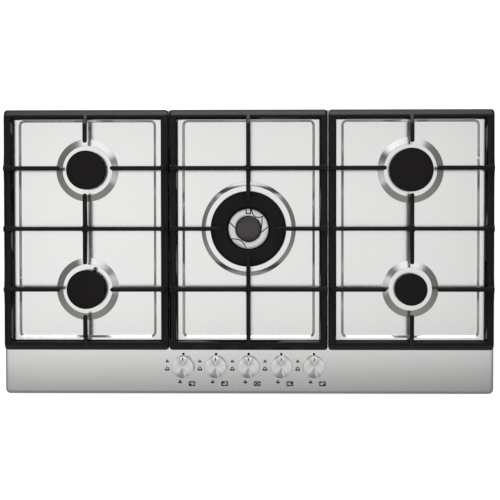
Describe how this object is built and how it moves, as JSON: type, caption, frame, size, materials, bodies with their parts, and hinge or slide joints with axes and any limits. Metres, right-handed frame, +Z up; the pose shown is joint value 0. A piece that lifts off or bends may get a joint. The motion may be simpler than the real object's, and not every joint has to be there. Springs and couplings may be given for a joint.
{
  "type": "gas cooktop",
  "caption": "Built-in stainless steel gas cooktop with a ring-flame wok burner between side burners, black cast iron trivets and turned metal knobs along the front.",
  "frame": {"origin": "Centre of the bounding box in plan, on the casing's flat underside.", "axes": "X to the right along the front edge, Y from the knobs to the back, Z up out of the worktop."},
  "size_m": [0.86, 0.5, 0.086],
  "materials": {
    "stainless": "satin",
    "seal_foam": "matte",
    "zinc_steel": "satin",
    "cup_aluminium": "matte",
    "crown_aluminium": "satin",
    "black_enamel": "satin",
    "cast_iron": "satin",
    "pad_rubber": "matte",
    "knob_metal": "satin",
    "spindle_steel": "satin",
    "brass": "satin",
    "tap_alloy": "matte",
    "spring_steel": "satin",
    "switch_plastic": "matte",
    "rail_steel": "satin",
    "tube_aluminium": "satin",
    "ceramic": "gloss",
    "generator_plastic": "matte",
    "terminal_plastic": "matte",
    "gland_plastic": "matte"
  },
  "bodies": {
    "hob": {"burner_crowns": "crown_aluminium", "burner_cups": "cup_aluminium", "cable_gland": "gland_plastic", "casing_pillars": "zinc_steel", "clamp_brackets": "zinc_steel", "feed_tubes": "tube_aluminium", "gas_rail": "rail_steel", "gas_taps": "tap_alloy", "ignition_switches": "switch_plastic", "injectors": "brass", "inlet_elbow": "brass", "lower_casing": "zinc_steel", "spark_electrodes": "ceramic", "spark_generator": "generator_plastic", "supply_pipe": "rail_steel", "tap_bonnets": "zinc_steel", "terminal_block": "terminal_plastic", "top_plate": "stainless", "worktop_seal": "seal_foam"},
    "trivet_left": {"trivet_left": "cast_iron", "trivet_left_pads": "pad_rubber"},
    "trivet_centre": {"trivet_centre": "cast_iron", "trivet_centre_pads": "pad_rubber"},
    "trivet_right": {"trivet_right": "cast_iron", "trivet_right_pads": "pad_rubber"},
    "cap_left_front": {"cap_left_front": "black_enamel"},
    "cap_left_rear": {"cap_left_rear": "black_enamel"},
    "cap_right_rear": {"cap_right_rear": "black_enamel"},
    "cap_right_front": {"cap_right_front": "black_enamel"},
    "wok_ring_cap": {"wok_ring_cap": "black_enamel"},
    "wok_inner_cap": {"wok_inner_cap": "black_enamel"},
    "plug_1": {"tap_plug_1": "brass", "push_spring_1": "spring_steel"},
    "knob_1": {"knob_1": "knob_metal", "spindle_1": "spindle_steel"},
    "plug_2": {"tap_plug_2": "brass", "push_spring_2": "spring_steel"},
    "knob_2": {"knob_2": "knob_metal", "spindle_2": "spindle_steel"},
    "plug_3": {"tap_plug_3": "brass", "push_spring_3": "spring_steel"},
    "knob_3": {"knob_3": "knob_metal", "spindle_3": "spindle_steel"},
    "plug_4": {"tap_plug_4": "brass", "push_spring_4": "spring_steel"},
    "knob_4": {"knob_4": "knob_metal", "spindle_4": "spindle_steel"},
    "plug_5": {"tap_plug_5": "brass", "push_spring_5": "spring_steel"},
    "knob_5": {"knob_5": "knob_metal", "spindle_5": "spindle_steel"}
  },
  "joints": [
    {"name": "trivet_left_lift", "type": "slide", "parent": "hob", "child": "trivet_left", "axis": [0, 0, 1], "range_m": [0, 0.08]},
    {"name": "trivet_centre_lift", "type": "slide", "parent": "hob", "child": "trivet_centre", "axis": [0, 0, 1], "range_m": [0, 0.08]},
    {"name": "trivet_right_lift", "type": "slide", "parent": "hob", "child": "trivet_right", "axis": [0, 0, 1], "range_m": [0, 0.08]},
    {"name": "cap_left_front_lift", "type": "slide", "parent": "hob", "child": "cap_left_front", "axis": [0, 0, 1], "range_m": [0, 0.06]},
    {"name": "cap_left_rear_lift", "type": "slide", "parent": "hob", "child": "cap_left_rear", "axis": [0, 0, 1], "range_m": [0, 0.06]},
    {"name": "cap_right_rear_lift", "type": "slide", "parent": "hob", "child": "cap_right_rear", "axis": [0, 0, 1], "range_m": [0, 0.06]},
    {"name": "cap_right_front_lift", "type": "slide", "parent": "hob", "child": "cap_right_front", "axis": [0, 0, 1], "range_m": [0, 0.06]},
    {"name": "wok_ring_cap_lift", "type": "slide", "parent": "hob", "child": "wok_ring_cap", "axis": [0, 0, 1], "range_m": [0, 0.004]},
    {"name": "wok_inner_cap_lift", "type": "slide", "parent": "hob", "child": "wok_inner_cap", "axis": [0, 0, 1], "range_m": [0, 0.06]},
    {"name": "knob_1_turn", "type": "hinge", "parent": "hob", "child": "plug_1", "pos_m": [-0.115, -0.201, 0.03], "axis": [0, 0, 1], "range_deg": [0, 170]},
    {"name": "knob_1_push", "type": "slide", "parent": "plug_1", "child": "knob_1", "axis": [0, 0, -1], "range_m": [0, 0.004], "stiffness_N_per_m": 1500, "springref_m": -0.002, "deforming": ["push_spring_1"]},
    {"name": "knob_2_turn", "type": "hinge", "parent": "hob", "child": "plug_2", "pos_m": [-0.0575, -0.201, 0.03], "axis": [0, 0, 1], "range_deg": [0, 170]},
    {"name": "knob_2_push", "type": "slide", "parent": "plug_2", "child": "knob_2", "axis": [0, 0, -1], "range_m": [0, 0.004], "stiffness_N_per_m": 1500, "springref_m": -0.002, "deforming": ["push_spring_2"]},
    {"name": "knob_3_turn", "type": "hinge", "parent": "hob", "child": "plug_3", "pos_m": [0, -0.201, 0.03], "axis": [0, 0, 1], "range_deg": [0, 170]},
    {"name": "knob_3_push", "type": "slide", "parent": "plug_3", "child": "knob_3", "axis": [0, 0, -1], "range_m": [0, 0.004], "stiffness_N_per_m": 1500, "springref_m": -0.002, "deforming": ["push_spring_3"]},
    {"name": "knob_4_turn", "type": "hinge", "parent": "hob", "child": "plug_4", "pos_m": [0.0575, -0.201, 0.03], "axis": [0, 0, 1], "range_deg": [0, 170]},
    {"name": "knob_4_push", "type": "slide", "parent": "plug_4", "child": "knob_4", "axis": [0, 0, -1], "range_m": [0, 0.004], "stiffness_N_per_m": 1500, "springref_m": -0.002, "deforming": ["push_spring_4"]},
    {"name": "knob_5_turn", "type": "hinge", "parent": "hob", "child": "plug_5", "pos_m": [0.115, -0.201, 0.03], "axis": [0, 0, 1], "range_deg": [0, 170]},
    {"name": "knob_5_push", "type": "slide", "parent": "plug_5", "child": "knob_5", "axis": [0, 0, -1], "range_m": [0, 0.004], "stiffness_N_per_m": 1500, "springref_m": -0.002, "deforming": ["push_spring_5"]}
  ]
}
